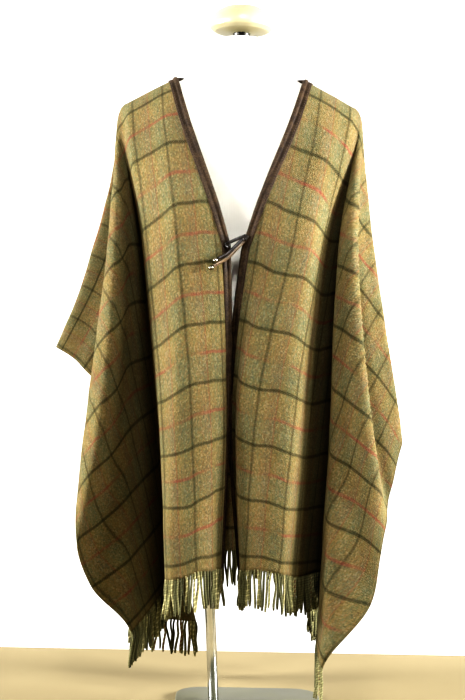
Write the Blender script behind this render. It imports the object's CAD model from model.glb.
"""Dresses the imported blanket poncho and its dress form, in metres, +Z up, front towards -Y.

Left and right are as seen from the front. A flat point of the blanket is (side, across, along): across
runs from the centre line to the side edge, along from the shoulder line, plus in front and minus behind.
"""

import math
import random

import bmesh
import bpy
import numpy as np
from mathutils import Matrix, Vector, noise


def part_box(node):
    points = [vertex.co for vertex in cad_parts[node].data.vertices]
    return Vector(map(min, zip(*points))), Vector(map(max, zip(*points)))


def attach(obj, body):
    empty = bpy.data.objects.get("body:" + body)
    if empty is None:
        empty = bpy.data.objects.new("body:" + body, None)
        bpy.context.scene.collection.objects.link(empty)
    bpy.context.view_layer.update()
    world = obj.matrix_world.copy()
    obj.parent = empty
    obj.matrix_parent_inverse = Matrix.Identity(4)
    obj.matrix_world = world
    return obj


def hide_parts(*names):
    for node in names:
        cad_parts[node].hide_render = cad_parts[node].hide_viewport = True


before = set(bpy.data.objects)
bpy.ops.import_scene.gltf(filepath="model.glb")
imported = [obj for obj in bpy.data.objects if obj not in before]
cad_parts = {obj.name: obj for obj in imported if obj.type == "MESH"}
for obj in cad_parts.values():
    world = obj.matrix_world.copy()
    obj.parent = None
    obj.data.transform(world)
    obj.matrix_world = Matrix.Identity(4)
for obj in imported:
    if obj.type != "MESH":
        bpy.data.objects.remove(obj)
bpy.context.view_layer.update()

# Camera, from the photograph's frame
FRAME_HEIGHT = 700
FOCAL_PIXELS = 1382.5
SENSOR_HEIGHT = 24.0
CAMERA_PLACE = (-0.0054, -2.5, 0.645)
CAMERA_ROLL = -0.0192

# Blanket cut, flat
HALF_WIDTH = 0.680
HALF_LENGTH = 0.900
CLOTH = 0.0024
NECK_HALF = 0.107
CUT_HALF = 0.117
FRONT_EDGE = 0.060
V_DROP = 0.342
V_BOW = 0.008
BACK_NECK_DROP = 0.075

# Shoulder line, from the neck point down to the shoulder point
NECK_POINT_X = 0.107
NECK_POINT_Z = 1.137
SHOULDER_SLOPE = math.radians(28.5)
COLLAR_SLOPE = math.radians(8)
SHOULDER = 0.213
CHEST_BEND = 0.070
SHOULDER_END_BEND = 0.016
BEND_EASE = 0.7

# Plan of the hanging cloth at three distances below the shoulder line, with a row for each fold
LEVELS = (0.0, 0.30, 0.60, 0.92)
SAG_RUN = 0.40
GIRTH_LEVEL = 0.60
# Columns: across the body (m), turn round the shoulder point (deg), x, y at chest, waist and hem, then sag
LEFT_FOLDS = (
    (0.055, 0, -0.012, -0.128, -0.009, -0.114, -0.018, -0.086, 0.034),
    (0.088, 0, -0.044, -0.137, -0.022, -0.138, -0.023, -0.114, 0.034),
    (0.117, 0, -0.075, -0.140, -0.045, -0.150, -0.034, -0.140, 0.026),
    (0.141, 0, -0.101, -0.140, -0.071, -0.154, -0.055, -0.152, 0.014),
    (0.168, 0, -0.127, -0.124, -0.097, -0.149, -0.079, -0.155, 0.004),
    (0.198, 0, -0.152, -0.104, -0.119, -0.127, -0.103, -0.152, -0.010),
    (SHOULDER, 0, -0.163, -0.092, -0.129, -0.111, -0.109, -0.136, -0.018),
    (SHOULDER, 14, -0.172, -0.022, -0.144, 0.032, -0.116, 0.070, -0.018),
    (SHOULDER, 27.4, -0.194, -0.064, -0.192, -0.050, -0.182, -0.014, -0.036),
    (SHOULDER, 31, -0.203, -0.084, -0.211, -0.080, -0.250, -0.052, -0.016),
    (SHOULDER, 34.5, -0.212, -0.102, -0.232, -0.106, -0.290, -0.072, -0.008),
    (SHOULDER, 40, -0.226, -0.084, -0.259, -0.068, -0.284, -0.050, 0.0),
    (SHOULDER, 54, -0.186, -0.016, -0.190, 0.038, -0.200, 0.070, 0.015),
    (SHOULDER, 72, -0.228, 0.022, -0.318, 0.046, -0.400, 0.066, 0.0),
    (SHOULDER, 90, -0.269, 0.030, -0.374, 0.062, -0.460, 0.090, 0.0),
    (SHOULDER, 108, -0.212, 0.096, -0.225, 0.155, -0.235, 0.200, 0.0),
    (SHOULDER, 126, -0.240, 0.128, -0.264, 0.200, -0.288, 0.230, 0.0),
    (SHOULDER, 142, -0.218, 0.152, -0.228, 0.228, -0.195, 0.252, 0.020),
    (SHOULDER, 152.6, -0.194, 0.140, -0.178, 0.206, -0.092, 0.216, 0.036),
    (SHOULDER, 159, -0.186, 0.116, -0.172, 0.150, -0.186, 0.165, 0.020),
    (SHOULDER, 166, -0.172, 0.090, -0.152, 0.088, -0.160, 0.090, 0.0),
    (SHOULDER, 180, -0.160, 0.120, -0.146, 0.150, -0.140, 0.152, 0.008),
    (0.140, 180, -0.116, 0.130, -0.110, 0.150, -0.106, 0.145, 0.022),
    (0.070, 180, -0.062, 0.148, -0.060, 0.170, -0.060, 0.178, 0.034),
    (0.0, 180, 0.0, 0.126, 0.0, 0.140, 0.0, 0.132, 0.038),
)
RIGHT_FOLDS = (
    (0.055, 0, 0.009, -0.122, -0.012, -0.094, 0.018, -0.082, 0.040),
    (0.090, 0, 0.040, -0.136, 0.004, -0.118, 0.019, -0.099, 0.040),
    (0.120, 0, 0.070, -0.140, 0.009, -0.137, 0.018, -0.116, 0.034),
    (0.150, 0, 0.101, -0.140, 0.042, -0.150, 0.024, -0.132, 0.016),
    (0.180, 0, 0.130, -0.130, 0.076, -0.154, 0.050, -0.148, -0.008),
    (SHOULDER, 0, 0.152, -0.100, 0.107, -0.144, 0.083, -0.148, -0.026),
    (SHOULDER, 3, 0.158, -0.080, 0.122, -0.114, 0.105, -0.122, -0.030),
    (SHOULDER, 15, 0.185, -0.022, 0.177, 0.012, 0.170, 0.040, -0.050),
    (SHOULDER, 27.4, 0.176, -0.102, 0.168, -0.120, 0.160, -0.144, 0.0),
    (SHOULDER, 31, 0.184, -0.111, 0.190, -0.132, 0.240, -0.153, 0.0),
    (SHOULDER, 34.3, 0.191, -0.118, 0.212, -0.142, 0.270, -0.151, 0.0),
    (SHOULDER, 36.8, 0.204, -0.118, 0.231, -0.140, 0.286, -0.141, 0.0),
    (SHOULDER, 39, 0.205, -0.098, 0.233, -0.110, 0.312, -0.130, 0.0),
    (SHOULDER, 42.2, 0.214, -0.095, 0.256, -0.107, 0.328, -0.122, 0.0),
    (SHOULDER, 45.9, 0.227, -0.088, 0.277, -0.100, 0.320, -0.108, 0.0),
    (SHOULDER, 49.3, 0.240, -0.082, 0.289, -0.090, 0.314, -0.096, 0.0),
    (SHOULDER, 60, 0.232, -0.030, 0.264, -0.018, 0.280, -0.010, 0.0),
    (SHOULDER, 75, 0.190, 0.010, 0.198, 0.036, 0.205, 0.050, 0.0),
    (SHOULDER, 90, 0.240, 0.050, 0.272, 0.085, 0.300, 0.110, 0.0),
    (SHOULDER, 108, 0.200, 0.088, 0.202, 0.130, 0.205, 0.160, 0.0),
    (SHOULDER, 126, 0.246, 0.128, 0.284, 0.182, 0.305, 0.205, 0.0),
    (SHOULDER, 142, 0.220, 0.150, 0.232, 0.218, 0.240, 0.236, 0.0),
    (SHOULDER, 152.6, 0.192, 0.140, 0.182, 0.196, 0.184, 0.190, 0.0),
    (SHOULDER, 166, 0.174, 0.090, 0.152, 0.088, 0.150, 0.086, 0.0),
    (SHOULDER, 180, 0.160, 0.120, 0.150, 0.155, 0.145, 0.160, 0.008),
    (0.140, 180, 0.115, 0.130, 0.110, 0.150, 0.105, 0.145, 0.022),
    (0.070, 180, 0.060, 0.148, 0.060, 0.172, 0.060, 0.180, 0.034),
    (0.0, 180, 0.0, 0.126, 0.0, 0.140, 0.0, 0.132, 0.038),
)
BACK_CENTRE = 2 * SHOULDER + GIRTH_LEVEL * math.pi
FALL_STEPS = 40
# Squared slant past which a thread counts as falling no flatter
MOST_SLANT = 0.96
NORMAL_STEP = 0.002

# Creases laid by hand: side, height, width, then flat points (across, along)
CREASES = (
    (-1, 0.0042, 0.013, (0.140, 0.060), (0.138, 0.180), (0.146, 0.300), (0.149, 0.400), (0.155, 0.500),
     (0.180, 0.690), (0.200, 0.880)),
    (-1, -0.0022, 0.014, (0.116, 0.300), (0.112, 0.460), (0.128, 0.640)),
    (1, 0.0026, 0.014, (0.160, 0.080), (0.172, 0.260), (0.190, 0.480), (0.200, 0.760)),
    (1, -0.0020, 0.014, (0.110, 0.350), (0.130, 0.480), (0.150, 0.660)),
    (1, 0.0040, 0.012, (0.300, 0.117), (0.423, 0.280), (0.512, 0.400), (0.602, 0.520), (0.650, 0.584)),
    (-1, 0.0030, 0.014, (0.300, 0.127), (0.440, 0.330), (0.553, 0.494), (0.638, 0.618)),
    (-1, -0.0030, 0.016, (0.560, 0.420), (0.600, 0.560), (0.640, 0.660)),
    (-1, 0.0026, 0.014, (0.050, -0.160), (0.064, -0.420), (0.050, -0.760)),
    (1, 0.0026, 0.014, (0.060, -0.180), (0.052, -0.460), (0.074, -0.800)),
    (-1, -0.0024, 0.016, (0.160, -0.120), (0.150, -0.360), (0.170, -0.640)),
    (1, -0.0024, 0.016, (0.150, -0.140), (0.168, -0.400), (0.150, -0.700)),
    (-1, 0.0040, 0.016, (0.320, -0.200), (0.380, -0.420), (0.430, -0.680)),
    (1, 0.0050, 0.016, (0.330, -0.180), (0.400, -0.420), (0.420, -0.640)),
)
CREASE_FADE = 0.060
EDGE_CALM = 0.030
# Farther than any point of the blanket lies from a crease
FAR_AWAY = 9.0
# Faint ripple of the cloth: its height, then each wave's share, turns a metre across and along, and seed
RIPPLE = 0.0016
RIPPLE_WAVES = ((1.0, 9.0, 5.0, 2.0), (0.4, 26.0, 15.0, 5.0))

# Fine grid of the blanket
BODY_COLUMNS = 20
WING_COLUMNS = 62
NECK_COLUMNS = 16
ROWS = 120
# How near doubles are merged, on the large sheets and on fine sections
MERGE = 0.00002
CLOSE_MERGE = 0.000002

# Check of the cloth, in flat metres: repeats and the first dark line of each
WARP_REPEAT = 0.0588
WARP_START = 0.149
WEFT_REPEAT = 0.1022
WEFT_START = 0.064
THREAD_WANDER = 0.0030
# How far the weft has slid down each front where it hangs: columns at SLIDE_ACROSS, rows at SLIDE_ALONG
SLIDE_ACROSS = (0.060, 0.100, 0.150, 0.210, 0.270, 0.450)
SLIDE_ALONG = (0.0, 0.166, 0.268, 0.371, 0.473, 0.575, 0.677, 0.779, 0.882)
LEFT_SLIDE = (
    (0.0, 0.0, 0.0, 0.0, 0.0, 0.0),
    (0.004, 0.007, -0.002, -0.006, -0.006, 0.0),
    (0.004, 0.007, 0.008, 0.020, 0.018, 0.0),
    (-0.002, 0.001, 0.009, 0.028, 0.022, 0.0),
    (-0.004, 0.002, 0.009, 0.030, 0.022, 0.0),
    (-0.008, -0.001, 0.008, 0.022, 0.013, 0.0),
    (-0.016, -0.004, 0.012, 0.012, 0.006, 0.0),
    (-0.030, -0.022, 0.005, -0.006, -0.004, 0.0),
    (-0.012, -0.008, -0.006, -0.007, -0.006, 0.0),
)
RIGHT_SLIDE = (
    (0.0, 0.0, 0.0, 0.0, 0.0, 0.0),
    (0.004, 0.007, 0.010, 0.014, 0.014, 0.0),
    (-0.006, 0.002, 0.017, 0.040, 0.036, 0.0),
    (-0.014, -0.002, 0.018, 0.036, 0.037, 0.0),
    (-0.015, -0.004, 0.012, 0.035, 0.032, 0.0),
    (-0.022, -0.010, 0.014, 0.026, 0.026, 0.0),
    (-0.030, -0.018, 0.006, 0.018, 0.016, 0.0),
    (-0.030, -0.018, -0.003, 0.008, 0.002, 0.0),
    (-0.018, -0.012, -0.008, -0.003, -0.009, 0.0),
)

# Patterns of the finishes, drawn as coarse as they have to be to show
TWILL_PITCH = 0.0036
FLECK_SIZE = (0.0019, 0.0028, 1.0)
FLECK_SHARE = 0.30
HEATHER_SHARE = 0.30
PORE_SIZE = 0.0014
KNIT_PITCH = 0.003157
# Radians that a wave texture of scale 1 turns in a metre
WAVE_TURN = 20
PEEL_SIZE = 0.002

# Leather binding: inset from the cut edge and lift off the outer face
BINDING_PROFILE = (
    (0.0158, 0.0002),
    (0.0156, 0.0012),
    (0.0145, 0.0015),
    (0.0090, 0.0015),
    (0.0075, 0.0004),
    (0.0062, 0.0012),
    (0.0045, 0.0027),
    (0.0020, 0.0030),
    (-0.0004, 0.0020),
    (-0.0015, -0.0004),
    (-0.0015, -0.0022),
    (-0.0004, -0.0036),
    (0.0030, -0.0040),
    (0.0150, -0.0038),
    (0.0158, -0.0026),
)
BINDING_TOP = 0.003
BINDING_INSET = 0.001
BINDING_STEPS = 150
NECK_STEPS = 61
STITCH_INSET = 0.0125
STITCH_LIFT = 0.0016
STITCH_PITCH = 0.0050
STITCH_LENGTH = 0.0034
STITCH_RADIUS = 0.0004
STITCH_SIDES = 6

# Twisted fringe
FRONT_STRAND_PITCH = 0.0054
BACK_STRAND_PITCH = 0.0048
STRAND_RADIUS = 0.0024
STRAND_LENGTH = 0.067
STRAND_SIDES = 7
STRAND_RINGS = 8
STRAND_TWIST = 0.0085
STRAND_SWAY = 0.0046
STRAND_WAVE = 0.0026
STRAND_TUCK = 0.002
FRINGE_INSET = 0.002
# How far above the hem the cloth's fall is read, and how much of its neighbour's lean a strand keeps
FALL_SPAN = 0.02
LEAN_KEPT = 0.45
# Least and most of a strand's length and thickness, as shares
LENGTH_SHARES = (0.88, 1.06)
THICKNESS_SHARES = (0.88, 1.12)
# Down a strand: thickness at the top, its growth, then the drawn-in end and where that begins
STRAND_TOP = 0.86
STRAND_GROWTH = 0.20
STRAND_END = 0.70
STRAND_END_START = 0.97
# How soon a strand hangs plumb, how its sway gathers and how often it waves
PLUMB_RATE = 2.5
SWAY_EASE = 1.5
WAVE_RATE = 5.0

# Tie
LACE_RADIUS = 0.0029
LACE_ROUNDING = 3
KNOT_RADIUS = 0.0052
BINDING_SEAT = 0.0023
KNOT_ACROSS = FRONT_EDGE + 0.008
LEFT_KNOT_ALONG = V_DROP + 0.001
RIGHT_KNOT_ALONG = V_DROP - 0.018
KNOT_LIFT = BINDING_SEAT + KNOT_RADIUS * 0.75
KNOT_TURN = 0.00125
KNOT_DEPTH = 1.3
KNOT_LACE_RADIUS = 0.0018
KNOT_STEPS = 72
# Upper lace: where it leaves the middle of a knot, and its bow towards the front
UPPER_START = (0.0, -0.0004, 0.0030)
UPPER_BOW = (0.0, -0.0015, 0.0)
UPPER_STEPS = 17
TAIL_STEPS = 24
# Tails of the lace: name, start off the right knot, then two stops on the left front
# Columns of a stop: across, along, lift
TAILS = (
    ("long", (-0.0019, -0.0004, -0.0069), (0.070, 0.364, 0.0030), (0.094, 0.379, 0.0018)),
    ("short", (-0.0049, -0.0006, -0.0034), (0.069, 0.357, 0.0034), (0.086, 0.366, 0.0018)),
)
# Metal end of a tail, from its crimped sleeve to its bead: radius and height
TIP_PROFILE = (
    (0.0, -0.0030),
    (0.0021, -0.0030),
    (0.0024, -0.0024),
    (0.0024, 0.0004),
    (0.0019, 0.0010),
    (0.0019, 0.0016),
    (0.0029, 0.0026),
    (0.0037, 0.0045),
    (0.0039, 0.0060),
    (0.0035, 0.0078),
    (0.0024, 0.0094),
    (0.0011, 0.0101),
    (0.0, 0.0103),
)
TIP_SIDES = 24

# Dress form: height, half width, half depth
FORM_SECTIONS = (
    (0.470, 0.112, 0.079),
    (0.480, 0.122, 0.088),
    (0.540, 0.130, 0.094),
    (0.620, 0.124, 0.092),
    (0.690, 0.116, 0.084),
    (0.770, 0.130, 0.092),
    (0.860, 0.146, 0.100),
    (0.940, 0.153, 0.101),
    (1.000, 0.165, 0.090),
    (1.050, 0.184, 0.070),
    (1.075, 0.190, 0.058),
    (1.0925, 0.188, 0.048),
    (1.1185, 0.140, 0.040),
    (1.1270, 0.110, 0.038),
    (1.1450, 0.080, 0.040),
    (1.1700, 0.058, 0.045),
    (1.1900, 0.047, 0.045),
    (1.2050, 0.045, 0.045),
)
FORM_SIDES = 48
FORM_END_INSET = 0.004
CAP_FOOT = 1.2053
# Cap: radius and height above its foot, with the bare stem first
CAP_PROFILE = (
    (0.0, 0.0000),
    (0.0155, 0.0000),
    (0.0155, 0.0120),
    (0.0480, 0.0150),
    (0.0560, 0.0200),
    (0.0570, 0.0270),
    (0.0540, 0.0380),
    (0.0460, 0.0490),
    (0.0320, 0.0570),
    (0.0160, 0.0610),
    (0.0, 0.0620),
)
CAP_STEM_RADIUS, CAP_STEM_HEIGHT = CAP_PROFILE[2]
CAP_SIDES = 64
CAP_ROUNDING = 0.0015
CAP_ROUNDING_ANGLE = math.radians(25)
POLE_X = -0.027
POLE_LEAN = -0.056
POLE_RADIUS = 0.0095
POLE_SIDES = 48
POLE_RIM = 0.0008
BASE_CENTRE = (0.034, -0.026)
BASE_WIDTH = 0.264
BASE_CORNER = 0.050
BASE_THICKNESS = 0.010
BASE_RIM = 0.003

# The studio: the floor's reach and back edge, then the room's glow before and behind, and where it changes
FLOOR_SIZE = 1.6
FLOOR_END = 0.46
ROOM_FRONT = 0.006
ROOM_BACK = 0.75
ROOM_CHANGE = (-0.1, 0.4)
# Lights: name, power in watts, size, beam in degrees, place and aim
LIGHTS = (
    ("left_key", 42.0, 0.7, 180, (-2.4, -2.0, 1.6), (0.0, 0.0, 0.65)),
    ("right_key", 33.0, 0.7, 180, (2.5, -1.9, 1.6), (0.0, 0.0, 0.65)),
    ("left_side", 160.0, 0.8, 180, (-3.0, -0.45, 1.3), (-0.2, 0.0, 0.65)),
    ("right_side", 215.0, 0.8, 180, (3.0, -0.6, 1.2), (0.2, 0.0, 0.65)),
    ("front", 2.2, 1.6, 180, (0.2, -3.2, 1.4), (0.0, 0.0, 0.60)),
    ("top", 2.6, 0.5, 50, (0.15, -1.8, 2.3), (0.05, -0.1, 0.95)),
)


def fold_ring():
    """Both fold tables as one ring: girth along the cloth, and plan positions at the levels."""
    left = np.array(LEFT_FOLDS)
    right = np.array(RIGHT_FOLDS)
    rings = []
    for table in (left, right):
        turn = np.radians(table[:, 1])
        girth = table[:, 0] + GIRTH_LEVEL * turn
        behind = (table[:, 1] == 180) & (table[:, 0] < SHOULDER)
        girth[behind] = BACK_CENTRE - table[behind, 0]
        rings.append(girth)
    girth = np.concatenate([rings[0], (2 * BACK_CENTRE - rings[1])[-2::-1]])
    places = np.concatenate([left[:, 2:], right[-2::-1, 2:]])
    return girth, places


def leg_of(knots, at):
    """Which leg of a table each value falls on, how long that leg is, and the share along it."""
    index = np.clip(np.searchsorted(knots, at, side="right") - 1, 0, len(knots) - 2)
    width = (knots[index + 1] - knots[index])[:, None]
    return index, width, ((at - knots[index]) / width[:, 0])[:, None]


def leg_weights(u):
    """Weights of a leg's start, end, start slope and end slope at a share along it."""
    return 2 * u**3 - 3 * u**2 + 1, 3 * u**2 - 2 * u**3, u**3 - 2 * u**2 + u, u**3 - u**2


def spline(knots, values, at):
    """A smooth curve through the rows of a table, with uneven spacing."""
    slopes = np.empty_like(values)
    slopes[1:-1] = (values[2:] - values[:-2]) / (knots[2:] - knots[:-2])[:, None]
    slopes[0] = (values[1] - values[0]) / (knots[1] - knots[0])
    slopes[-1] = (values[-1] - values[-2]) / (knots[-1] - knots[-2])
    index, width, u = leg_of(knots, at)
    start, end, start_slope, end_slope = leg_weights(u)
    place = values[index] * start + values[index + 1] * end
    return place + slopes[index] * width * start_slope + slopes[index + 1] * width * end_slope


def drift(targets, run):
    """Sideways drift of each thread at a run below the shoulder, and its rate, through the levels."""
    knots = np.array(LEVELS)
    levels = np.concatenate([np.zeros_like(targets[:, :1]), targets], axis=1)
    slopes = np.zeros_like(levels)
    slopes[:, 1:-1] = (levels[:, 2:] - levels[:, :-2]) / (knots[2:] - knots[:-2])[None, :, None]
    slopes[:, -1] = (levels[:, -1] - levels[:, -2]) / (knots[-1] - knots[-2])
    inside = np.minimum(run, knots[-1])
    index, width, u = leg_of(knots, inside)
    row = np.arange(len(run))
    start, end = levels[row, index], levels[row, index + 1]
    start_slope, end_slope = slopes[row, index] * width, slopes[row, index + 1] * width
    weights = leg_weights(u)
    place = start * weights[0] + end * weights[1]
    place = place + start_slope * weights[2] + end_slope * weights[3]
    rate = (start - end) * (6 * u**2 - 6 * u) + start_slope * (3 * u**2 - 4 * u + 1)
    rate = (rate + end_slope * (3 * u**2 - 2 * u)) / width
    return place + rate * (run - inside)[:, None], rate


def drape(side, across, along):
    """Where flat points of the blanket hang, on the inner face of the cloth."""
    shape = np.broadcast(side, across, along).shape
    side = np.broadcast_to(side, shape).ravel().astype(float)
    across = np.broadcast_to(across, shape).ravel().astype(float)
    along = np.broadcast_to(along, shape).ravel().astype(float)
    past = np.maximum(across - SHOULDER, 0.0)
    body = np.minimum(across, SHOULDER)
    run = np.hypot(past, along)
    turn = np.arctan2(past, along)
    girth = body + GIRTH_LEVEL * turn
    behind = (across < SHOULDER) & (along < 0)
    girth[behind] = BACK_CENTRE - across[behind]
    girth = np.where(side < 0, girth, 2 * BACK_CENTRE - girth)

    start = np.zeros((len(run), 2))
    slope = np.where(body > NECK_HALF, SHOULDER_SLOPE, COLLAR_SLOPE)
    start[:, 0] = side * (NECK_POINT_X + (body - NECK_HALF) * np.cos(slope))
    start_height = NECK_POINT_Z - (body - NECK_HALF) * np.sin(slope)
    level = 1 - (1 - math.cos(SHOULDER_SLOPE)) * np.sin(turn) ** 2
    leave = np.stack([side * np.sin(turn), -np.cos(turn)], axis=1) * level[:, None]
    bend = CHEST_BEND + (SHOULDER_END_BEND - CHEST_BEND) * np.abs(np.sin(turn)) ** BEND_EASE

    knots, places = fold_ring()
    hang = spline(knots, places, girth)
    sag = hang[:, 6]
    targets = hang[:, :6].reshape(len(run), 3, 2)
    bends = np.tanh(np.array(LEVELS[1:])[None, :] / bend[:, None]) * bend[:, None]
    targets = targets - start[:, None, :] - bends[:, :, None] * leave[:, None, :]

    height = start_height.copy()
    step = run / FALL_STEPS
    for count in range(FALL_STEPS):
        here = step * (count + 0.5)
        _, rate = drift(targets, here)
        rate = rate + leave * (1 - np.tanh(here / bend) ** 2)[:, None]
        speed = np.minimum(np.sum(rate**2, axis=1), MOST_SLANT)
        height -= step * np.sqrt(1 - speed)
    sagged = np.clip(run / SAG_RUN, 0.0, 1.0)
    height -= sag * sagged**2 * (3 - 2 * sagged)
    place, _ = drift(targets, run)
    place = place + start + leave * (bend * np.tanh(run / bend))[:, None]
    return np.concatenate([place, height[:, None]], axis=1).reshape(*shape, 3)


def surface_normal(side, across, along):
    """Outward normal of the hanging cloth."""
    run = drape(side, across + NORMAL_STEP, along) - drape(side, across - NORMAL_STEP, along)
    fall = drape(side, across, along + NORMAL_STEP) - drape(side, across, along - NORMAL_STEP)
    normal = np.cross(fall, run) * np.asarray(side)[..., None]
    return normal / np.linalg.norm(normal, axis=-1, keepdims=True)


def front_edge(along):
    """Flat distance from the centre line to the cut edge of a front."""
    share = np.clip(1 - along / V_DROP, 0.0, 1.0)
    return FRONT_EDGE + (CUT_HALF - FRONT_EDGE) * share + 4 * V_BOW * share * (1 - share)


def back_neck(across):
    """Flat depth of the neck cut in the back."""
    return BACK_NECK_DROP * np.clip(1 - (across / CUT_HALF) ** 2, 0.0, 1.0)


def ripple(x, y):
    """The cloth's faint ripple at a flat point, as a share of its height."""
    height = 0.0
    for share, wide, deep, seed in RIPPLE_WAVES:
        height += share * noise.noise(Vector((x * wide, y * deep, seed)))
    return height


def crease_height(side, across, along):
    """Height of the hand-laid creases and of a faint ripple, calm along the bound edges."""
    shape = across.shape
    side = np.broadcast_to(side, shape).ravel()
    across, along = across.ravel(), along.ravel()
    height = np.zeros(len(across))
    for crease_side, lift, width, *stops in CREASES:
        stops = np.array(stops)
        nearest = np.full(len(across), FAR_AWAY)
        for start, end in zip(stops, stops[1:]):
            leg = end - start
            share = ((across - start[0]) * leg[0] + (along - start[1]) * leg[1]) / leg.dot(leg)
            share = np.clip(share, 0.0, 1.0)
            away = np.hypot(across - start[0] - share * leg[0], along - start[1] - share * leg[1])
            nearest = np.minimum(nearest, away)
        tip = np.minimum(
            np.hypot(across - stops[0][0], along - stops[0][1]),
            np.hypot(across - stops[-1][0], along - stops[-1][1]),
        )
        fade = np.clip(tip / CREASE_FADE, 0.0, 1.0)
        height += np.where(side == crease_side, lift * fade * np.exp(-nearest / width), 0.0)
    height += RIPPLE * np.array([ripple(s * x, y) for s, x, y in zip(side, across, along)])
    inside = np.where(along >= 0, across - front_edge(along), -along - back_neck(across))
    calm = np.clip(inside / EDGE_CALM, 0.0, 1.0)
    return (height * calm**2 * (3 - 2 * calm)).reshape(shape)


def weft_slide(side, across, along):
    """How far the weft lies below its flat place, from the two slide tables; none behind."""
    rows = np.array(SLIDE_ALONG)
    slid = np.zeros(across.shape)
    for table_side, table in ((-1, LEFT_SLIDE), (1, RIGHT_SLIDE)):
        columns = np.array([np.interp(across, SLIDE_ACROSS, row) for row in table])
        index = np.clip(np.searchsorted(rows, along, side="right") - 1, 0, len(rows) - 2)
        share = np.clip((along - rows[index]) / (rows[index + 1] - rows[index]), 0.0, 1.0)
        low = np.take_along_axis(columns, index[None], axis=0)[0]
        high = np.take_along_axis(columns, index[None] + 1, axis=0)[0]
        slid = np.where((side == table_side) & (along > 0), low + (high - low) * share, slid)
    return slid


def cloth_places(side, across, along, lift=0.0):
    """Points lifted off the inner face of the creased cloth."""
    side = np.broadcast_to(np.asarray(side, dtype=float), across.shape)
    normal = surface_normal(side, across, along)
    return drape(side, across, along) + normal * (crease_height(side, across, along) + lift)[..., None]


def spot_on(side, across, along, lift):
    """A point lifted off the outer face of a front."""
    flat = (np.array([float(side)]), np.array([across]), np.array([along]))
    return Vector((drape(*flat) + surface_normal(*flat) * (CLOTH + lift))[0])


def linear(code):
    """An sRGB hex colour as linear RGBA; a fourth pair is its alpha."""
    parts = [int(code[place : place + 2], 16) / 255 for place in range(1, len(code), 2)]
    light = [part / 12.92 if part <= 0.04045 else ((part + 0.055) / 1.055) ** 2.4 for part in parts[:3]]
    return (*light, parts[3] if len(parts) > 3 else 1.0)


def node(tree, kind, inputs=None, ramp=(), **settings):
    """Add a node with its settings, ramp stops and links. A node as an input is its first output."""
    item = tree.nodes.new("ShaderNode" + kind)
    for name, value in settings.items():
        setattr(item, name, value)
    for stop, (place, colour) in enumerate(ramp):
        stops = item.color_ramp.elements
        element = stops[stop] if stop < 2 else stops.new(place)
        element.position = place
        element.color = linear(colour)
    for name, value in (inputs or {}).items():
        if isinstance(value, bpy.types.Node):
            value = value.outputs[0]
        if isinstance(value, bpy.types.NodeSocket):
            tree.links.new(value, item.inputs[name])
        else:
            item.inputs[name].default_value = value
    return item


def start_material(name, **sockets):
    """A Principled material with its even values set on the shader; gives material, tree and shader."""
    material = bpy.data.materials.new(name)
    material.use_nodes = True
    tree = material.node_tree
    shader = tree.nodes["Principled BSDF"]
    for socket, value in sockets.items():
        shader.inputs[socket.replace("_", " ")].default_value = value
    return material, tree, shader


def feed(tree, shader, **sources):
    """Link each node's first output to the shader's socket of that name."""
    for socket, source in sources.items():
        tree.links.new(source.outputs[0], shader.inputs[socket.replace("_", " ")])


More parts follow.
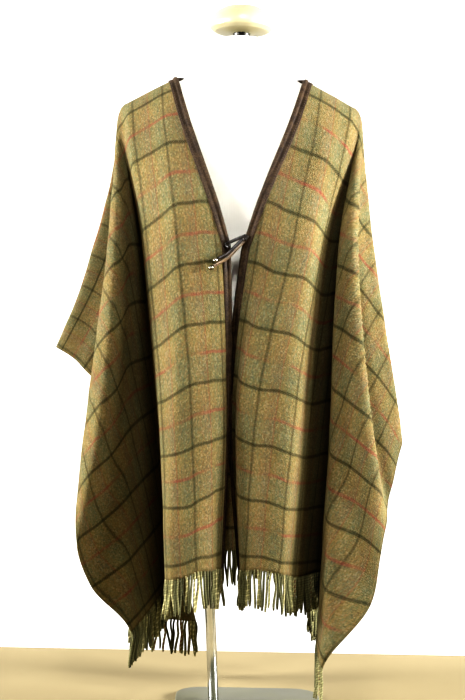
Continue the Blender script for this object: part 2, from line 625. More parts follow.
def wool_tweed():
    """Brushed wool tweed: matt, flecked and fuzzy, with a two-way overcheck that breaks up in the twill."""
    material, tree, shader = start_material(
        "wool_tweed",
        Roughness=0.95,
        Sheen_Weight=0.10,
        Sheen_Roughness=0.5,
        Sheen_Tint=linear("#d9c99a"),
        Specular_IOR_Level=0.15,
    )
    flat = node(tree, "UVMap", uv_map="flat").outputs["UV"]

    # Threads wander to either side in waves of about 60 mm
    wander = node(tree, "TexNoise", {"Vector": flat, "Scale": 16.0, "Detail": 2.0}, noise_dimensions="2D")
    wander = node(tree, "VectorMath", {0: wander.outputs["Color"], 1: (0.5, 0.5, 0.5)}, operation="SUBTRACT")
    wander = node(tree, "VectorMath", {0: wander, "Scale": THREAD_WANDER}, operation="SCALE")
    thread = node(tree, "VectorMath", {0: flat, 1: wander}, operation="ADD")
    split = node(tree, "SeparateXYZ", {0: thread})
    u, v = split.outputs["X"], split.outputs["Y"]

    # Place within a repeat, 0 to 1, with the dark line at 0.5
    repeats = []
    for at, repeat, start in ((u, WARP_REPEAT, WARP_START), (v, WEFT_REPEAT, WEFT_START)):
        turns = node(tree, "Math", {0: at, 1: 1 / repeat, 2: 0.5 - start / repeat}, operation="MULTIPLY_ADD")
        repeats.append(node(tree, "Math", {0: turns}, operation="FRACT"))
    warp, weft = repeats

    # Ground stripes of both thread sets: grey-green, olive and gold-brown
    warp_ground = node(
        tree,
        "ValToRGB",
        {0: warp},
        ramp=(
            (0.00, "#786a45"),
            (0.10, "#86754a"),
            (0.22, "#777659"),
            (0.32, "#676c52"),
            (0.46, "#716643"),
            (0.54, "#716747"),
            (0.66, "#84764f"),
            (0.74, "#89724d"),
            (0.90, "#7a6752"),
        ),
    )
    weft_ground = node(
        tree,
        "ValToRGB",
        {0: weft},
        ramp=(
            (0.00, "#736749"),
            (0.08, "#676854"),
            (0.30, "#6d6e59"),
            (0.46, "#656549"),
            (0.54, "#80724d"),
            (0.74, "#84724f"),
            (0.94, "#796749"),
        ),
    )
    # Twill ribs, coarser than woven so that they show, and a nap in tufts of about 2.4 mm
    twill = node(tree, "Math", {0: u, 1: v}, operation="ADD")
    twill = node(tree, "Math", {0: twill, 1: 2 * math.pi / TWILL_PITCH}, operation="MULTIPLY")
    twill = node(tree, "Math", {0: twill}, operation="SINE")
    nap = node(tree, "TexNoise", {"Vector": flat, "Scale": 420.0, "Detail": 3.0}, noise_dimensions="2D")
    nap = nap.outputs["Fac"]
    share = node(tree, "Math", {0: nap, 1: 1.6, 2: -0.30}, operation="MULTIPLY_ADD", use_clamp=True)
    ground = node(tree, "Mix", {0: share, 6: warp_ground, 7: weft_ground}, data_type="RGBA").outputs[2]
    # Flecks of other fleece spun into the yarn
    grain = node(tree, "VectorMath", {0: thread, 1: FLECK_SIZE}, operation="SNAP")
    grain = node(tree, "TexWhiteNoise", {"Vector": grain}, noise_dimensions="2D")
    fleck = node(
        tree,
        "ValToRGB",
        {0: grain.outputs["Value"]},
        ramp=(
            (0.00, "#28291e"),
            (0.15, "#484931"),
            (0.33, "#786e4b"),
            (0.50, "#6a735b"),
            (0.66, "#8e7e54"),
            (0.80, "#795947"),
            (0.90, "#b1a484"),
        ),
    )
    # Heather: slubs of green, straw and rust along the warp, about 3 by 9 mm
    slub = node(tree, "VectorMath", {0: flat, 1: (300.0, 110.0, 1.0)}, operation="MULTIPLY")
    slub = node(tree, "TexNoise", {"Vector": slub, "Scale": 1.0, "Detail": 3.0}, noise_dimensions="2D")
    heather = node(
        tree,
        "ValToRGB",
        {0: slub.outputs["Fac"]},
        ramp=(
            (0.26, "#5b5e4f"),
            (0.40, "#707259"),
            (0.50, "#7d744f"),
            (0.60, "#897852"),
            (0.74, "#84674f"),
        ),
    )
    ground = node(tree, "Mix", {0: FLECK_SHARE, 6: ground, 7: fleck}, data_type="RGBA").outputs[2]
    ground = node(tree, "Mix", {0: HEATHER_SHARE, 6: ground, 7: heather}, data_type="RGBA").outputs[2]

    # Overcheck: fine dark warp and faint red warp, broad dark weft and red weft; alpha is how much they cover
    warp_lines = node(
        tree,
        "ValToRGB",
        {0: warp},
        ramp=(
            (0.000, "#8a3a3044"),
            (0.014, "#8a3a3034"),
            (0.030, "#8a3a3000"),
            (0.450, "#22251700"),
            (0.486, "#22251788"),
            (0.514, "#22251788"),
            (0.550, "#22251700"),
            (0.970, "#8a3a3000"),
            (0.986, "#8a3a3034"),
        ),
    )
    weft_lines = node(
        tree,
        "ValToRGB",
        {0: weft},
        ramp=(
            (0.000, "#8a2e3890"),
            (0.018, "#8a2e3870"),
            (0.040, "#8a2e3800"),
            (0.458, "#1e221500"),
            (0.484, "#1e2215b4"),
            (0.516, "#1e2215b4"),
            (0.542, "#1e221500"),
            (0.960, "#8a2e3800"),
            (0.982, "#8a2e3870"),
        ),
    )
    # The lines break where the other thread set lies on top, and the red weft in patches of about 45 mm too
    over = node(tree, "Math", {0: twill, 1: 0.24, 2: 0.58}, operation="MULTIPLY_ADD")
    over = node(tree, "Math", {0: nap, 1: 0.5, 2: over}, operation="MULTIPLY_ADD", use_clamp=True)
    warp_cover = node(tree, "Math", {0: warp_lines.outputs["Alpha"], 1: over}, operation="MULTIPLY")
    weft_cover = node(tree, "Math", {0: weft_lines.outputs["Alpha"], 1: over}, operation="MULTIPLY")
    patch = node(tree, "TexNoise", {"Vector": flat, "Scale": 22.0, "Detail": 2.0}, noise_dimensions="2D")
    patch = patch.outputs["Fac"]
    broken = node(tree, "Math", {0: patch, 1: 3.4, 2: -1.05}, operation="MULTIPLY_ADD", use_clamp=True)
    near_red = node(tree, "Math", {0: weft, 1: 0.5}, operation="SUBTRACT")
    near_red = node(tree, "Math", {0: near_red}, operation="ABSOLUTE")
    near_red = node(tree, "Math", {0: near_red, 1: 0.25}, operation="GREATER_THAN")
    thinned = node(tree, "Mix", {0: near_red, 2: 1.0, 3: broken}, data_type="FLOAT")
    weft_cover = node(tree, "Math", {0: weft_cover, 1: thinned}, operation="MULTIPLY")
    checked = node(tree, "Mix", {0: warp_cover, 6: ground, 7: warp_lines}, data_type="RGBA").outputs[2]
    checked = node(tree, "Mix", {0: weft_cover, 6: checked, 7: weft_lines}, data_type="RGBA").outputs[2]

    # Uneven dyeing and wear over about 140 mm, and the nap's own light and dark
    wear = node(tree, "TexNoise", {"Vector": flat, "Scale": 7.0, "Detail": 3.0}, noise_dimensions="2D")
    tone = node(tree, "Math", {0: wear.outputs["Fac"], 1: 0.34, 2: 0.62}, operation="MULTIPLY_ADD")
    fuzz = node(tree, "Math", {0: nap, 1: 0.62, 2: 0.67}, operation="MULTIPLY_ADD")
    tone = node(tree, "Math", {0: tone, 1: fuzz}, operation="MULTIPLY")
    toned = node(tree, "VectorMath", {0: checked, "Scale": tone}, operation="SCALE")
    relief = node(tree, "Math", {0: twill, 1: 0.16, 2: nap}, operation="MULTIPLY_ADD")
    bump = node(tree, "Bump", {"Height": relief, "Strength": 0.7, "Distance": 0.0013})
    feed(tree, shader, Base_Color=toned, Normal=bump)
    return material


def fringe_yarn():
    """Two-ply wool yarn twisted from the blanket's own warp: dull, hairy, dark in the groove of the twist."""
    material, tree, shader = start_material(
        "fringe_yarn",
        Roughness=0.93,
        Sheen_Weight=0.3,
        Sheen_Roughness=0.5,
        Sheen_Tint=linear("#d8d2b4"),
        Specular_IOR_Level=0.2,
    )
    # Each strand has its own tone, from dark olive to straw and rust, and a second ply near it
    fleeces = (
        (0.00, "#3d3d2c"),
        (0.24, "#5c5c42"),
        (0.46, "#767455"),
        (0.64, "#8e8b67"),
        (0.78, "#aaa37a"),
        (0.88, "#c0b992"),
        (0.93, "#7f7355"),
        (0.97, "#7f5c44"),
    )
    tone = node(tree, "Attribute", attribute_name="tone").outputs["Fac"]
    other = node(tree, "Math", {0: tone, 1: 0.62, 2: 0.10}, operation="MULTIPLY_ADD")
    plies = [node(tree, "ValToRGB", {0: spun}, ramp=fleeces) for spun in (tone, other)]
    # The plies wind round each other, with two grooves in each turn
    split = node(tree, "SeparateXYZ", {0: node(tree, "UVMap", uv_map="strand").outputs["UV"]})
    around, down = split.outputs["X"], split.outputs["Y"]
    wind = node(tree, "Math", {0: down, 1: 1 / STRAND_TWIST, 2: around}, operation="MULTIPLY_ADD")
    wind = node(tree, "Math", {0: wind, 1: 2 * math.pi}, operation="MULTIPLY")
    wind = node(tree, "Math", {0: wind}, operation="SINE")
    side = node(tree, "Math", {0: wind, 1: 4.0, 2: 0.5}, operation="MULTIPLY_ADD", use_clamp=True)
    yarn = node(tree, "Mix", {0: side, 6: plies[0], 7: plies[1]}, data_type="RGBA").outputs[2]
    groove = node(tree, "Math", {0: wind}, operation="ABSOLUTE")
    groove = node(tree, "Math", {0: groove, 1: 0.6}, operation="POWER")
    # Loose hairs of about 1.4 mm
    place = node(tree, "TexCoord").outputs["Object"]
    hair = node(tree, "TexNoise", {"Vector": place, "Scale": 700.0, "Detail": 3.0}).outputs["Fac"]
    shade = node(tree, "Math", {0: groove, 1: 0.80, 2: 0.34}, operation="MULTIPLY_ADD")
    light = node(tree, "Math", {0: hair, 1: 0.9, 2: 0.55}, operation="MULTIPLY_ADD")
    shade = node(tree, "Math", {0: shade, 1: light}, operation="MULTIPLY")
    colour = node(tree, "VectorMath", {0: yarn, "Scale": shade}, operation="SCALE")
    relief = node(tree, "Math", {0: hair, 1: 0.5, 2: groove}, operation="MULTIPLY_ADD")
    bump = node(tree, "Bump", {"Height": relief, "Strength": 0.8, "Distance": 0.0012})
    feed(tree, shader, Base_Color=colour, Normal=bump)
    return material


def oiled_leather(name, dark, light, roughness, shine):
    """Oiled leather strip: low gloss over a fine pebble grain, rubbed paler in places."""
    material, tree, shader = start_material(name, Specular_IOR_Level=shine)
    place = node(tree, "TexCoord").outputs["Object"]
    # Pores drawn larger than real ones so that they show, over clouds of 17 mm and rubs of 2.4 mm
    pores = node(tree, "TexVoronoi", {"Vector": place, "Scale": 1 / PORE_SIZE}, feature="DISTANCE_TO_EDGE")
    cloud = node(tree, "TexNoise", {"Vector": place, "Scale": 60.0, "Detail": 4.0}).outputs["Fac"]
    rub = node(tree, "TexNoise", {"Vector": place, "Scale": 420.0, "Detail": 2.0}).outputs["Fac"]
    mixed = node(tree, "Math", {0: cloud, 1: rub}, operation="MULTIPLY")
    hide = node(tree, "ValToRGB", {0: mixed}, ramp=((0.12, dark), (0.42, light)))
    gloss = node(tree, "Math", {0: cloud, 1: 0.25, 2: roughness - 0.12}, operation="MULTIPLY_ADD")
    bump = node(tree, "Bump", {"Height": pores.outputs["Distance"], "Strength": 0.25, "Distance": 0.0004})
    feed(tree, shader, Base_Color=hide, Roughness=gloss, Normal=bump)
    return material


def waxed_thread():
    """Waxed linen sewing thread: dark brown with a dull shine, in uneven dabs of 0.7 mm for its ply."""
    material, tree, shader = start_material("waxed_thread", Roughness=0.55)
    place = node(tree, "TexCoord").outputs["Object"]
    ply = node(tree, "TexNoise", {"Vector": place, "Scale": 1500.0, "Detail": 1.0})
    colour = node(tree, "ValToRGB", {0: ply.outputs["Fac"]}, ramp=((0.3, "#2a2018"), (0.7, "#4d3d2d")))
    feed(tree, shader, Base_Color=colour)
    return material


def turned_metal(name, dark, light, roughness, grain):
    """Turned and polished metal: sharp reflections with faint turning marks and a haze from handling."""
    material, tree, shader = start_material(name, Metallic=1.0)
    place = node(tree, "TexCoord").outputs["Object"]
    # Haze in clouds of 33 mm; grain is the spacing of the turning marks
    haze = node(tree, "TexNoise", {"Vector": place, "Scale": 30.0, "Detail": 5.0})
    colour = node(tree, "ValToRGB", {0: haze.outputs["Fac"]}, ramp=((0.3, dark), (0.7, light)))
    split = node(tree, "SeparateXYZ", {0: place})
    lines = node(tree, "Math", {0: split.outputs["Z"], 1: 1 / grain}, operation="MULTIPLY")
    marks = node(tree, "TexNoise", {"W": lines, "Scale": 1.0, "Detail": 2.0}, noise_dimensions="1D")
    marks = marks.outputs["Fac"]
    gloss = node(tree, "Math", {0: marks, 1: 0.16, 2: roughness - 0.06}, operation="MULTIPLY_ADD")
    bump = node(tree, "Bump", {"Height": marks, "Strength": 0.06, "Distance": 0.0003})
    feed(tree, shader, Base_Color=colour, Roughness=gloss, Normal=bump)
    return material


def form_jersey():
    """White cotton jersey stretched over foam: matt, with fine knit columns and slight soiling."""
    material, tree, shader = start_material(
        "cotton_jersey", Roughness=0.88, Sheen_Weight=0.15, Sheen_Roughness=0.5, Specular_IOR_Level=0.25
    )
    place = node(tree, "TexCoord").outputs["Object"]
    # Soiling in clouds of 110 mm
    cloud = node(tree, "TexNoise", {"Vector": place, "Scale": 9.0, "Detail": 4.0})
    colour = node(tree, "ValToRGB", {0: cloud.outputs["Fac"]}, ramp=((0.3, "#e6e2d8"), (0.7, "#f6f4ee")))
    columns = {"Vector": place, "Scale": 2 * math.pi / WAVE_TURN / KNIT_PITCH, "Distortion": 1.5}
    knit = node(tree, "TexWave", columns, wave_type="BANDS")
    bump = node(tree, "Bump", {"Height": knit.outputs["Fac"], "Strength": 0.12, "Distance": 0.0004})
    feed(tree, shader, Base_Color=colour, Normal=bump)
    return material


def stove_enamel(name, dark, light):
    """Stove-enamelled steel: even satin colour with faint orange peel and dust."""
    material, tree, shader = start_material(name, Coat_Weight=0.25, Coat_Roughness=0.25)
    place = node(tree, "TexCoord").outputs["Object"]
    # Dust in clouds of 70 mm
    cloud = node(tree, "TexNoise", {"Vector": place, "Scale": 14.0, "Detail": 5.0}).outputs["Fac"]
    colour = node(tree, "ValToRGB", {0: cloud}, ramp=((0.3, dark), (0.7, light)))
    gloss = node(tree, "Math", {0: cloud, 1: 0.3, 2: 0.25}, operation="MULTIPLY_ADD")
    peel = node(tree, "TexNoise", {"Vector": place, "Scale": 1 / PEEL_SIZE, "Detail": 1.0})
    bump = node(tree, "Bump", {"Height": peel.outputs["Fac"], "Strength": 0.05, "Distance": 0.0003})
    feed(tree, shader, Base_Color=colour, Roughness=gloss, Normal=bump)
    return material


def floor_paint():
    """Matt floor paint: one even tan with a trace of cloudiness, in clouds of half a metre."""
    material, tree, shader = start_material("floor_paint", Roughness=0.8, Specular_IOR_Level=0.2)
    place = node(tree, "TexCoord").outputs["Object"]
    cloud = node(tree, "TexNoise", {"Vector": place, "Scale": 2.0, "Detail": 4.0})
    colour = node(tree, "ValToRGB", {0: cloud.outputs["Fac"]}, ramp=((0.3, "#928669"), (0.7, "#988c6f")))
    feed(tree, shader, Base_Color=colour)
    return material


def show(name, bm, material):
    """Put a finished bmesh in the scene as one named, smooth object."""
    for face in bm.faces:
        face.smooth = True
    mesh = bpy.data.meshes.new(name)
    bm.to_mesh(mesh)
    bm.free()
    mesh.materials.append(material)
    item = bpy.data.objects.new(name, mesh)
    bpy.context.scene.collection.objects.link(item)
    return item


def dress(piece, slot, *nodes):
    """Ride a piece on the part's one body, with its finish and the nodes that it stands for."""
    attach(piece, "root")
    if nodes:
        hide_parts(*nodes)
    return piece


def lay_grid(bm, points):
    """A sheet through a grid of points; gives each new vertex its row and column."""
    rows, columns = points.shape[:2]
    made = bmesh.ops.create_grid(bm, x_segments=columns - 1, y_segments=rows - 1, size=0.5)
    places = {}
    for vert in made["verts"]:
        column = round((vert.co.x + 0.5) * (columns - 1))
        row = round((vert.co.y + 0.5) * (rows - 1))
        vert.co = points[row, column]
        places[vert] = (row, column)
    return places


def smooth_route(stops, count):
    """Evenly spread points on a smooth curve through hand-set stops."""
    stops = np.array(stops, dtype=float)
    knots = np.concatenate([[0.0], np.cumsum(np.linalg.norm(np.diff(stops, axis=0), axis=1))])
    return spline(knots, stops, np.linspace(0, knots[-1], count))


def make_lace(name, points, radius, material, closed=False):
    """A round lace along a line of points, or round a closed one."""
    curve = bpy.data.curves.new(name, "CURVE")
    curve.dimensions = "3D"
    curve.bevel_depth = radius
    curve.bevel_resolution = LACE_ROUNDING
    curve.use_fill_caps = not closed
    run = curve.splines.new("POLY")
    run.points.add(len(points) - 1)
    for knot, point in zip(run.points, points):
        knot.co = (*point, 1.0)
    run.use_cyclic_u = closed
    run.use_smooth = True
    curve.materials.append(material)
    item = bpy.data.objects.new(name, curve)
    bpy.context.scene.collection.objects.link(item)
    return item


def knot_turns(centre):
    """Points of a lace drawn round itself in three lobes, as a thumb knot."""
    points = []
    for step in range(KNOT_STEPS):
        t = 2 * math.pi * step / KNOT_STEPS
        across = math.sin(t) + 2 * math.sin(2 * t)
        up = math.cos(t) - 2 * math.cos(2 * t)
        points.append(centre + Vector((across, -KNOT_DEPTH * math.sin(3 * t), up)) * KNOT_TURN)
    return points


def make_tip(name, root, towards, material):
    """A turned metal end: a crimped sleeve, a groove and a round bead."""
    bm = turned_shape(TIP_PROFILE, TIP_SIDES)
    turn = (towards - root).normalized().to_track_quat("Z", "Y")
    for vert in bm.verts:
        vert.co = turn @ vert.co + root
    return show(name, bm, material)


def turned_shape(profile, sides):
    """A closed shape spun from a profile of radius and height."""
    bm = bmesh.new()
    corners = [bm.verts.new((radius, 0.0, height)) for radius, height in profile]
    legs = [bm.edges.new(pair) for pair in zip(corners, corners[1:])]
    bmesh.ops.spin(
        bm,
        geom=corners + legs,
        axis=(0, 0, 1),
        cent=(0, 0, 0),
        angle=2 * math.pi,
        steps=sides,
        use_merge=True,
    )
    bmesh.ops.remove_doubles(bm, verts=bm.verts, dist=CLOSE_MERGE)
    bmesh.ops.recalc_face_normals(bm, faces=bm.faces)
    return bm


def make_tie(leather, tail_leather, metal):
    """Two knots on the binding, a lace between them and two tipped tails over the left front."""
    left_knot = spot_on(-1, KNOT_ACROSS, LEFT_KNOT_ALONG, KNOT_LIFT)
    right_knot = spot_on(1, KNOT_ACROSS, RIGHT_KNOT_ALONG, KNOT_LIFT)
    for name, centre in (("left", left_knot), ("right", right_knot)):
        knot = make_lace("tie_knot_" + name, knot_turns(centre), KNOT_LACE_RADIUS, leather, closed=True)
        dress(knot, "leather", "knot_" + name)
    first, last = left_knot + Vector(UPPER_START), right_knot + Vector(UPPER_START)
    bow = Vector(UPPER_BOW)
    stops = [first, first.lerp(last, 0.33) + bow, first.lerp(last, 0.67) + bow, last]
    upper = smooth_route(stops, UPPER_STEPS)
    lace = dress(make_lace("upper_lace", upper, LACE_RADIUS, leather), "leather", "lace_upper")

    rise = BINDING_SEAT + LACE_RADIUS
    for name, start, *stops in TAILS:
        start = right_knot + Vector(start)
        near, far = [spot_on(-1, across, along, rise + lift) for across, along, lift in stops]
        points = [start.lerp(near, share) for share in (0.0, 0.25, 0.5, 0.75)]
        points += [near, near.lerp(far, 0.33), near.lerp(far, 0.67), far]
        route = smooth_route(points, TAIL_STEPS)
        lace = make_lace(name + "_tail", route, LACE_RADIUS, tail_leather[name])
        dress(lace, "leather", "lace_" + name)
        tip = make_tip(name + "_tail_tip", far, far * 2 - near, metal)
        dress(tip, "tip", "tip_" + name)


def flat_half(facing):
    """Fine flat grid of one half of the blanket. facing is 1 or -1 for front or back."""
    share = np.linspace(0, 1, ROWS + 1)[:, None]
    body = np.linspace(0, 1, BODY_COLUMNS + 1)[None, :]
    wing = np.linspace(SHOULDER, HALF_WIDTH, WING_COLUMNS + 1)[None, 1:]
    if facing > 0:
        edge = front_edge(share * HALF_LENGTH)
        across = edge + (SHOULDER - edge) * body
        across = np.concatenate([across, np.broadcast_to(wing, (ROWS + 1, WING_COLUMNS))], axis=1)
        return across, np.broadcast_to(share * HALF_LENGTH, across.shape)
    neck = np.linspace(0, CUT_HALF, NECK_COLUMNS + 1)[None, :-1]
    shoulder = CUT_HALF + (SHOULDER - CUT_HALF) * body
    across = np.concatenate([neck, shoulder, wing], axis=1)
    across = np.broadcast_to(across, (ROWS + 1, across.shape[1]))
    top = back_neck(across)
    return across, -(top + share * (HALF_LENGTH - top))


def make_blanket(material):
    """The whole blanket as one sheet, both fronts and the back, with its flat coordinates as a UV map."""
    bm = bmesh.new()
    layer = bm.loops.layers.uv.new("flat")
    across, along = flat_half(1)
    back_across, back_along = flat_half(-1)
    side = np.concatenate([np.full_like(back_across, -1.0), np.ones_like(back_across)[:, 1:]], axis=1)
    back_across = np.concatenate([back_across[:, ::-1], back_across[:, 1:]], axis=1)
    back_along = np.concatenate([back_along[:, ::-1], back_along[:, 1:]], axis=1)
    panels = (
        (np.full_like(across, -1.0), across, along),
        (np.ones_like(across), across[:, ::-1], along[:, ::-1]),
        (side, back_across, back_along),
    )
    for panel in panels:
        places = lay_grid(bm, cloth_places(*panel))
        warp, weft = panel[0] * panel[1], panel[2] - weft_slide(*panel)
        for vert, place in places.items():
            for loop in vert.link_loops:
                loop[layer].uv = (warp[place], weft[place])
    bmesh.ops.remove_doubles(bm, verts=bm.verts, dist=MERGE)
    blanket = show("blanket", bm, material)
    solid = blanket.modifiers.new("cloth", "SOLIDIFY")
    solid.thickness = CLOTH
    solid.offset = 1.0
    return dress(blanket, "tweed", "front_left", "front_right", "back")


def make_binding(name, flat, inward, material, node_name):
    """A leather strip folded over a cut edge, swept along the edge's own flat line."""
    side, across, along = flat
    rows = [
        cloth_places(side, across + inward[0] * inset, along + inward[1] * inset, CLOTH + lift)
        for inset, lift in BINDING_PROFILE
    ]
    rows.append(rows[0])
    bm = bmesh.new()
    lay_grid(bm, np.array(rows))
    bmesh.ops.remove_doubles(bm, verts=bm.verts, dist=CLOSE_MERGE)
    bmesh.ops.holes_fill(bm, edges=[edge for edge in bm.edges if edge.is_boundary], sides=0)
    bmesh.ops.recalc_face_normals(bm, faces=bm.faces)
    return dress(show(name, bm, material), "leather", node_name)


def make_stitches(name, flat, inward, material):
    """A row of short sewn stitches along the outer leaf of a binding."""
    side, across, along = flat
    across, along = across + inward[0] * STITCH_INSET, along + inward[1] * STITCH_INSET
    line = cloth_places(side, across, along, CLOTH + STITCH_LIFT)
    distance = np.concatenate([[0.0], np.cumsum(np.linalg.norm(np.diff(line, axis=0), axis=1))])
    bm = bmesh.new()
    for start in np.arange(STITCH_PITCH, distance[-1] - STITCH_PITCH, STITCH_PITCH):
        ends = [
            Vector([np.interp(at, distance, line[:, axis]) for axis in range(3)])
            for at in (start, start + STITCH_LENGTH)
        ]
        made = bmesh.ops.create_cone(
            bm,
            cap_ends=True,
            segments=STITCH_SIDES,
            radius1=STITCH_RADIUS,
            radius2=STITCH_RADIUS,
            depth=STITCH_LENGTH,
        )
        turn = (ends[1] - ends[0]).to_track_quat("Z", "Y")
        for vert in made["verts"]:
            vert.co = turn @ vert.co + (ends[0] + ends[1]) / 2
    return dress(show(name, bm, material), "leather")


def make_bindings(leather, thread):
    """Bindings of both front edges and of the back neck, with their stitching."""
    along = np.linspace(BINDING_TOP, HALF_LENGTH - BINDING_INSET, BINDING_STEPS)
    pieces = []
    for name, side in (("left", -1.0), ("right", 1.0)):
        flat = (np.full_like(along, side), front_edge(along), along)
        pieces.append(make_binding(name + "_edge_binding", flat, (1.0, 0.0), leather, "binding_" + name))
        pieces.append(make_stitches(name + "_edge_stitches", flat, (1.0, 0.0), thread))
    across = np.linspace(-CUT_HALF, CUT_HALF, NECK_STEPS)
    side = np.where(across < 0, -1.0, 1.0)
    flat = (side, np.abs(across), -back_neck(np.abs(across)) - BINDING_INSET)
    pieces.append(make_binding("neck_binding", flat, (0.0, -1.0), leather, "binding_back"))
    pieces.append(make_stitches("neck_stitches", flat, (0.0, -1.0), thread))
    return pieces


def strand_pattern():
    """One upright strand of unit radius and length, hanging from the origin, as a mesh to repeat."""
    bm = bmesh.new()
    bmesh.ops.create_circle(bm, cap_ends=True, segments=STRAND_SIDES, radius=1.0)
    face = bm.faces[:][0]
    for _ in range(1, STRAND_RINGS):
        out = bmesh.ops.extrude_face_region(bm, geom=[face])
        new = [item for item in out["geom"] if isinstance(item, bmesh.types.BMVert)]
        bmesh.ops.delete(bm, geom=[face], context="FACES_ONLY")
        face = next(item for item in out["geom"] if isinstance(item, bmesh.types.BMFace))
        bmesh.ops.translate(bm, verts=new, vec=(0, 0, -1 / (STRAND_RINGS - 1)))
    bmesh.ops.recalc_face_normals(bm, faces=bm.faces)
    mesh = bpy.data.meshes.new("strand_pattern")
    bm.to_mesh(mesh)
    bm.free()
    return mesh


def wrap_strand(faces, layer, length):
    """Flat coordinates of a strand: u once round it, v in metres down it, with no jump at the seam."""
    for face in faces:
        turns = [(math.atan2(loop.vert.co.y, loop.vert.co.x) / (2 * math.pi)) % 1.0 for loop in face.loops]
        for loop, turn in zip(face.loops, turns):
            seam = 1.0 if max(turns) - turn > 0.5 else 0.0
            loop[layer].uv = (turn + seam, -loop.vert.co.z * length)


def make_fringe(name, side, across, along, pattern, material, node_name, seed):
    """Twisted strands hung along a hem, each with its own lean, length and colour."""
    chance = random.Random(seed)
    roots = cloth_places(side, across, along, CLOTH / 2)
    above = cloth_places(side, across, along - np.sign(along) * FALL_SPAN, CLOTH / 2)
    bm = bmesh.new()
    tone = bm.verts.layers.float.new("tone")
    layer = bm.loops.layers.uv.new("strand")
    lean = Vector((0.0, 0.0, 0.0))
    for root, high in zip(roots, above):
        root, high = Vector(root), Vector(high)
        fall = (root - high).normalized()
        length = STRAND_LENGTH * chance.uniform(*LENGTH_SHARES)
        sway = Vector((chance.uniform(-1, 1), chance.uniform(-1, 1), 0.0)) * STRAND_SWAY
        lean = lean * LEAN_KEPT + sway
        wave = chance.uniform(-1, 1) * STRAND_WAVE
        thickness = STRAND_RADIUS * chance.uniform(*THICKNESS_SHARES)
        shade = chance.random()
        first, first_face = len(bm.verts), len(bm.faces)
        bm.from_mesh(pattern)
        bm.verts.ensure_lookup_table()
        bm.faces.ensure_lookup_table()
        wrap_strand(bm.faces[first_face:], layer, length)
        for vert in bm.verts[first:]:
            share = -vert.co.z
            # Slim at the top, fuller below and drawn in at the cut end
            end = STRAND_END if share > STRAND_END_START else 1.0
            radius = thickness * (STRAND_TOP + STRAND_GROWTH * share) * end
            drop = fall.lerp(Vector((0, 0, -1)), min(1.0, share * PLUMB_RATE)) * length * share
            swing = lean * share**SWAY_EASE + Vector((wave * math.sin(WAVE_RATE * share), 0.0, 0.0))
            around = Vector((vert.co.x, vert.co.y, 0.0)) * radius
            vert.co = root - fall * STRAND_TUCK + drop + swing + around
            vert[tone] = shade
    return dress(show(name, bm, material), "yarn", node_name)


def make_fringes(material):
    """Fringes of both fronts and of the back."""
    pattern = strand_pattern()
    edge = HALF_WIDTH - FRINGE_INSET
    front_count = round((HALF_WIDTH - FRONT_EDGE) / FRONT_STRAND_PITCH) + 1
    front = np.linspace(FRONT_EDGE + FRINGE_INSET, edge, front_count)
    back = np.linspace(-HALF_WIDTH + FRINGE_INSET, edge, round(2 * HALF_WIDTH / BACK_STRAND_PITCH) + 1)
    hems = (
        ("left_fringe", np.full_like(front, -1.0), front, HALF_LENGTH, "fringe_front_left"),
        ("right_fringe", np.ones_like(front), front, HALF_LENGTH, "fringe_front_right"),
        ("back_fringe", np.where(back < 0, -1.0, 1.0), np.abs(back), -HALF_LENGTH, "fringe_back"),
    )
    pieces = []
    for seed, (name, side, across, hem, node_name) in enumerate(hems, start=1):
        along = np.full_like(across, hem)
        pieces.append(make_fringe(name, side, across, along, pattern, material, node_name, seed))
    bpy.data.meshes.remove(pattern)
    return pieces


def make_form(material):
    """The limbless form as one smooth loft through its sections."""
    angles = np.linspace(0, 2 * math.pi, FORM_SIDES + 1)
    rows = [
        np.stack([half * np.cos(angles), depth * np.sin(angles), np.full_like(angles, height)], axis=1)
        for height, half, depth in FORM_SECTIONS
    ]
    bm = bmesh.new()
    lay_grid(bm, np.array(rows))
    bmesh.ops.remove_doubles(bm, verts=bm.verts, dist=MERGE)
    bmesh.ops.holes_fill(bm, edges=[edge for edge in bm.edges if edge.is_boundary], sides=0)
    caps = [face for face in bm.faces if len(face.verts) > 4]
    bmesh.ops.inset_region(bm, faces=caps, thickness=FORM_END_INSET)
    bmesh.ops.recalc_face_normals(bm, faces=bm.faces)
    form = show("form_body", bm, material)
    smooth = form.modifiers.new("smooth", "SUBSURF")
    smooth.levels = smooth.render_levels = 1
    return dress(form, "form", "torso")


def make_cap(enamel, metal):
    """The turned cap on the form's neck, with its short bare stem."""
    bm = turned_shape([(radius, CAP_FOOT + height) for radius, height in CAP_PROFILE], CAP_SIDES)
    cap = show("form_cap", bm, enamel)
    cap.data.materials.append(metal)
    for polygon in cap.data.polygons:
        x, y, z = polygon.center
        on_stem = math.hypot(x, y) < CAP_STEM_RADIUS and z < CAP_FOOT + CAP_STEM_HEIGHT
        polygon.material_index = 1 if on_stem else 0
    rounding = cap.modifiers.new("rounding", "BEVEL")
    rounding.width = CAP_ROUNDING
    rounding.segments = 3
    rounding.angle_limit = CAP_ROUNDING_ANGLE
    return dress(cap, "cap", "neck_cap")


def make_pole(material):
    """The leaning tube of the stand."""
    low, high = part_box("pole")[0].z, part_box("pole")[1].z
    bm = bmesh.new()
    bmesh.ops.create_cone(
        bm, cap_ends=True, segments=POLE_SIDES, radius1=POLE_RADIUS, radius2=POLE_RADIUS, depth=high - low
    )
    rims = [edge for edge in bm.edges if abs(edge.verts[0].co.z - edge.verts[1].co.z) < POLE_RIM]
    bmesh.ops.bevel(bm, geom=rims, offset=POLE_RIM, segments=2, profile=0.5, affect="EDGES", material=-1)
    bmesh.ops.translate(bm, verts=bm.verts, vec=(POLE_X, 0.0, (high + low) / 2))
    for vert in bm.verts:
        vert.co.x += POLE_LEAN * vert.co.z
    return dress(show("form_pole", bm, material), "pole", "pole")


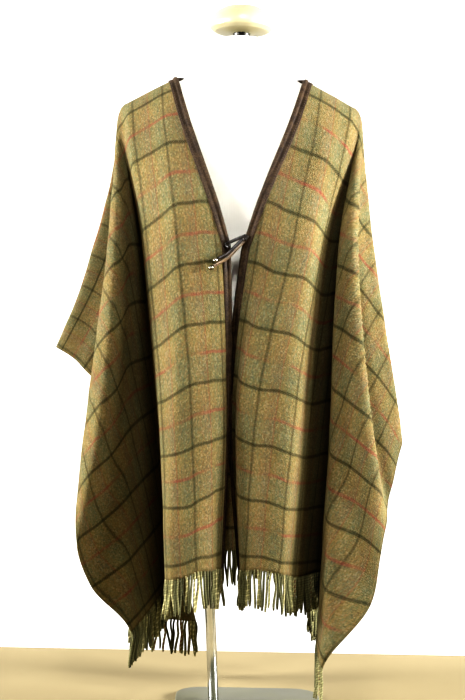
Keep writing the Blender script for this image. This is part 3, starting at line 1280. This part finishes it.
def make_base(material):
    """The rounded square plate that the stand rests on."""
    bm = bmesh.new()
    bmesh.ops.create_cube(bm, size=1.0)
    bmesh.ops.scale(bm, verts=bm.verts, vec=(BASE_WIDTH, BASE_WIDTH, BASE_THICKNESS))
    bmesh.ops.translate(bm, verts=bm.verts, vec=(*BASE_CENTRE, BASE_THICKNESS / 2))
    upright = [edge for edge in bm.edges if abs(edge.verts[0].co.z - edge.verts[1].co.z) > BASE_THICKNESS / 2]
    bmesh.ops.bevel(
        bm, geom=upright, offset=BASE_CORNER, segments=16, profile=0.5, affect="EDGES", material=-1
    )
    rim = [edge for edge in bm.edges if all(vert.co.z > BASE_THICKNESS - BASE_RIM for vert in edge.verts)]
    bmesh.ops.bevel(bm, geom=rim, offset=BASE_RIM, segments=4, profile=0.5, affect="EDGES", material=-1)
    return dress(show("form_base", bm, material), "base", "base")


def set_camera():
    """The photograph's view."""
    data = bpy.data.cameras.new("camera")
    data.sensor_fit = "VERTICAL"
    data.sensor_height = SENSOR_HEIGHT
    data.lens = SENSOR_HEIGHT * FOCAL_PIXELS / FRAME_HEIGHT
    camera = bpy.data.objects.new("camera", data)
    camera.location = CAMERA_PLACE
    camera.rotation_euler = (math.pi / 2, CAMERA_ROLL, 0.0)
    bpy.context.scene.collection.objects.link(camera)
    bpy.context.scene.camera = camera


def set_stage():
    """A plain pale floor with a straight back edge, and all white beyond it."""
    bm = bmesh.new()
    bmesh.ops.create_grid(bm, x_segments=4, y_segments=4, size=FLOOR_SIZE)
    bmesh.ops.translate(bm, verts=bm.verts, vec=(0.0, FLOOR_END - FLOOR_SIZE, 0.0))
    show("floor", bm, floor_paint())


def set_lights():
    """A key and a grazing light on either side, faint fill, and a white room that glows behind the object."""
    for name, power, size, beam, place, aim in LIGHTS:
        data = bpy.data.lights.new(name, "AREA")
        data.energy = power
        data.size = size
        data.spread = math.radians(beam)
        lamp = bpy.data.objects.new(name, data)
        lamp.location = place
        lamp.rotation_euler = (Vector(aim) - Vector(place)).to_track_quat("-Z", "Y").to_euler()
        bpy.context.scene.collection.objects.link(lamp)

    world = bpy.data.worlds.new("white_room")
    world.use_nodes = True
    tree = world.node_tree
    seen = tree.nodes["Background"]
    seen.inputs["Color"].default_value = linear("#fffffe")
    direction = node(tree, "SeparateXYZ", {0: node(tree, "TexCoord").outputs["Generated"]})
    change = {1: ROOM_CHANGE[0], 2: ROOM_CHANGE[1], 3: ROOM_FRONT, 4: ROOM_BACK}
    lit = node(tree, "MapRange", {0: direction.outputs["Y"], **change})
    glow = node(tree, "Background", {"Color": linear("#fffdf8"), "Strength": lit})
    ray = node(tree, "LightPath").outputs["Is Camera Ray"]
    room = node(tree, "MixShader", {0: ray, 1: glow, 2: seen})
    tree.links.new(room.outputs[0], tree.nodes["World Output"].inputs["Surface"])
    bpy.context.scene.world = world
    bpy.context.scene.view_settings.view_transform = "Standard"
    bpy.context.scene.view_settings.look = "Very High Contrast"


set_camera()
leather = oiled_leather("oiled_leather", "#251d15", "#524333", roughness=0.62, shine=0.22)
lace_leather = oiled_leather("waxed_lace", "#0c0907", "#2a2019", roughness=0.30, shine=0.6)
rubbed_leather = oiled_leather("rubbed_lace", "#3a2e24", "#7d6a52", roughness=0.30, shine=0.6)
nickel = turned_metal("nickel_plate", "#75716a", "#a29e94", roughness=0.18, grain=0.0006)
make_tie(lace_leather, {"long": rubbed_leather, "short": lace_leather}, nickel)
blanket = make_blanket(wool_tweed())
trims = make_bindings(leather, waxed_thread())
trims += make_fringes(fringe_yarn())
form = make_form(form_jersey())
cream = stove_enamel("cream_enamel", "#a39c7e", "#aea78a")
make_cap(cream, turned_metal("blued_steel", "#2c2c2a", "#42423f", roughness=0.34, grain=0.0008))
make_pole(turned_metal("chromed_steel", "#c4c6c6", "#e2e4e4", roughness=0.12, grain=0.0012))
make_base(stove_enamel("grey_enamel", "#555442", "#676650"))
set_stage()
set_lights()

bpy.context.view_layer.update()
